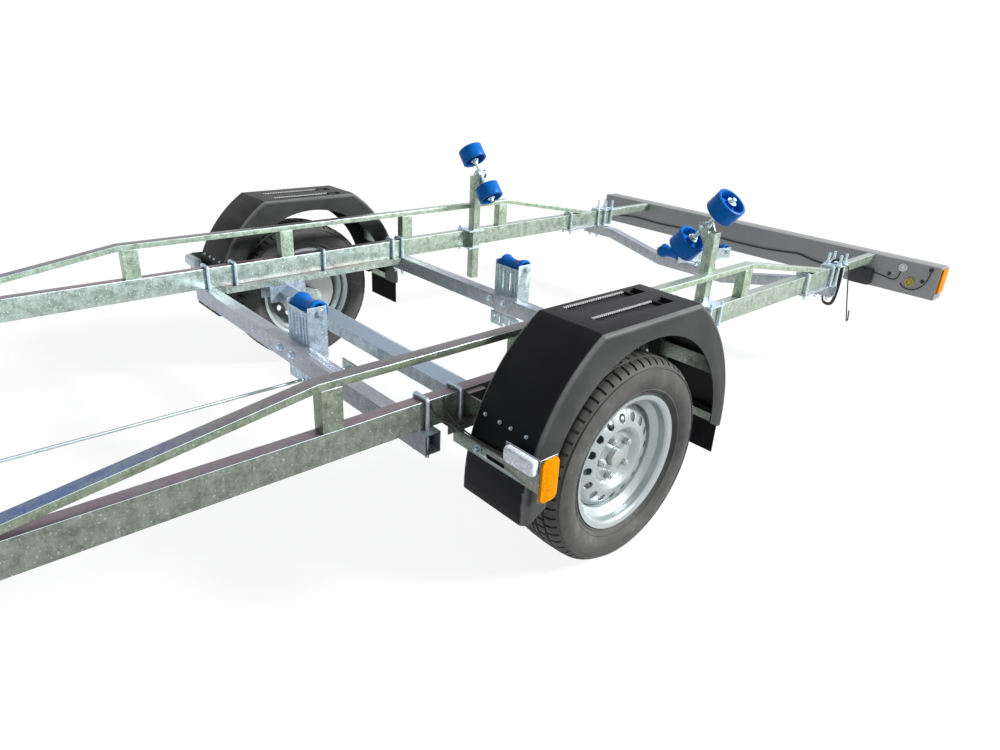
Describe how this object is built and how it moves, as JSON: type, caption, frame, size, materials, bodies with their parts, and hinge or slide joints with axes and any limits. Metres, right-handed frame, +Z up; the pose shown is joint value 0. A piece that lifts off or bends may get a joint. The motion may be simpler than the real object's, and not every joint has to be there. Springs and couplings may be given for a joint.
{
  "type": "boat trailer",
  "caption": "Single-axle boat trailer: braced rail frame, keel and bilge rollers, fenders, winch post, jockey wheel, ball coupling and rear light board.",
  "frame": {"origin": "on the ground under the middle of the trailer's length and width", "axes": "+X forwards to the ball coupling, +Y to the trailer's left, +Z up"},
  "size_m": [6.826, 2.186, 1.21],
  "materials": {
    "galvanised": "dull hot-dip zinc with faint spangle",
    "bright_zinc": "bright zinc plate",
    "tyre": "dusty matt rubber",
    "rim_silver": "silver paint, satin",
    "drum_iron": "dull dark iron",
    "fender_black": "satin moulded plastic",
    "black_rubber": "matt",
    "roller_blue": "smooth blue, semi-gloss",
    "amber": "prismatic reflector",
    "lamp_red": "clear glossy lens",
    "strap": "woven webbing",
    "cable_black": "smooth cable jacket"
  },
  "bodies": {
    "frame": {"cable_box": "cable_black", "rails": "galvanised", "truss_chords": "galvanised", "truss_posts": "galvanised", "crossbars": "galvanised", "crossbar_rear": "galvanised", "axle_rails": "galvanised", "rail_u_bolts": "bright_zinc", "axle_tube": "galvanised", "trailing_arms": "galvanised", "brake_backplates": "drum_iron", "fenders": "fender_black", "fender_stays": "galvanised", "mud_flaps": "black_rubber", "marker_brackets": "galvanised", "amber_reflectors": "amber", "keel_brackets": "galvanised", "bilge_posts": "galvanised", "post_clamps": "bright_zinc", "extension_tubes": "galvanised", "light_board": "galvanised", "rear_lamps": "lamp_red", "overrun_housing": "galvanised", "gaiter": "black_rubber", "coupling": "bright_zinc", "coupling_handle": "bright_zinc", "handbrake_lever": "fender_black", "winch_post": "galvanised", "winch_frame": "bright_zinc", "bow_stop": "roller_blue", "jockey_tube": "galvanised", "jockey_clamp": "bright_zinc", "brake_rod": "galvanised", "board_cable": "cable_black", "lamp_wire": "cable_black", "side_wire": "cable_black", "cable_coil": "cable_black", "hanging_string": "cable_black", "marker_wire_front": "cable_black", "marker_wire_rear": "cable_black"},
    "wheel_left": {"tyre_left": "tyre", "rim_left": "rim_silver", "brake_drum_left": "drum_iron"},
    "wheel_right": {"tyre_right": "tyre", "rim_right": "rim_silver", "brake_drum_right": "drum_iron"},
    "keel_roller_front": {"keel_roller_front": "roller_blue"},
    "keel_roller_middle": {"keel_roller_middle": "roller_blue"},
    "keel_cradle": {"keel_cradle": "galvanised"},
    "keel_roller_rear_low": {"keel_roller_rear_low": "roller_blue"},
    "keel_roller_rear_high": {"keel_roller_rear_high": "roller_blue"},
    "bilge_rocker_left": {"bilge_rocker_left": "galvanised"},
    "bilge_wheels_left": {"bilge_wheels_left": "roller_blue"},
    "bilge_rocker_right": {"bilge_rocker_right": "galvanised"},
    "bilge_wheels_right": {"bilge_wheels_right": "roller_blue"},
    "winch_drum": {"winch_drum": "bright_zinc", "winch_strap": "strap"},
    "jockey_stem": {"jockey_stem": "bright_zinc"},
    "jockey_fork": {"jockey_fork": "galvanised"},
    "jockey_wheel": {"jockey_wheel": "black_rubber"}
  },
  "joints": [
    {"name": "wheel_left_spin", "type": "hinge", "parent": "frame", "child": "wheel_left", "pos_m": [-0.985, 0.9455, 0.321], "axis": [0, 1, 0], "continuous": true},
    {"name": "wheel_right_spin", "type": "hinge", "parent": "frame", "child": "wheel_right", "pos_m": [-0.985, -0.9455, 0.321], "axis": [0, 1, 0], "continuous": true},
    {"name": "keel_roller_front_spin", "type": "hinge", "parent": "frame", "child": "keel_roller_front", "pos_m": [-0.544, 0, 0.587], "axis": [0, 1, 0], "continuous": true},
    {"name": "keel_roller_middle_spin", "type": "hinge", "parent": "frame", "child": "keel_roller_middle", "pos_m": [-1.479, 0, 0.587], "axis": [0, 1, 0], "continuous": true},
    {"name": "keel_cradle_tilt", "type": "hinge", "parent": "frame", "child": "keel_cradle", "pos_m": [-2.817, 0, 0.452], "axis": [0, 1, 0], "range_deg": [0, 12]},
    {"name": "keel_roller_rear_low_spin", "type": "hinge", "parent": "keel_cradle", "child": "keel_roller_rear_low", "pos_m": [-3.02784, 0, 0.45483], "axis": [0, 1, 0], "continuous": true},
    {"name": "keel_roller_rear_high_spin", "type": "hinge", "parent": "keel_cradle", "child": "keel_roller_rear_high", "pos_m": [-2.60908, 0, 0.48706], "axis": [0, 1, 0], "continuous": true},
    {"name": "bilge_rocker_left_tilt", "type": "hinge", "parent": "frame", "child": "bilge_rocker_left", "pos_m": [-1.827, 0.64, 0.841], "axis": [1, 0, 0], "range_deg": [-25, 3]},
    {"name": "bilge_wheels_left_spin", "type": "hinge", "parent": "bilge_rocker_left", "child": "bilge_wheels_left", "pos_m": [-1.827, 0.64, 0.841], "axis": [0, 0.6428, 0.766], "continuous": true},
    {"name": "bilge_rocker_right_tilt", "type": "hinge", "parent": "frame", "child": "bilge_rocker_right", "pos_m": [-1.827, -0.64, 0.841], "axis": [-1, 0, 0], "range_deg": [-25, 3]},
    {"name": "bilge_wheels_right_spin", "type": "hinge", "parent": "bilge_rocker_right", "child": "bilge_wheels_right", "pos_m": [-1.827, -0.64, 0.841], "axis": [0, -0.6428, 0.766], "continuous": true},
    {"name": "winch_drum_spin", "type": "hinge", "parent": "frame", "child": "winch_drum", "pos_m": [2.071, 0, 1.03], "axis": [0, 1, 0], "continuous": true},
    {"name": "jockey_slide", "type": "slide", "parent": "frame", "child": "jockey_stem", "axis": [0, 0, 1], "range_m": [-0.1, 0.15]},
    {"name": "jockey_castor", "type": "hinge", "parent": "jockey_stem", "child": "jockey_fork", "pos_m": [2.563, 0.218, 0.242], "axis": [0, 0, 1], "continuous": true},
    {"name": "jockey_wheel_spin", "type": "hinge", "parent": "jockey_fork", "child": "jockey_wheel", "pos_m": [2.521, 0.218, 0.105], "axis": [0, 1, 0], "continuous": true}
  ]
}
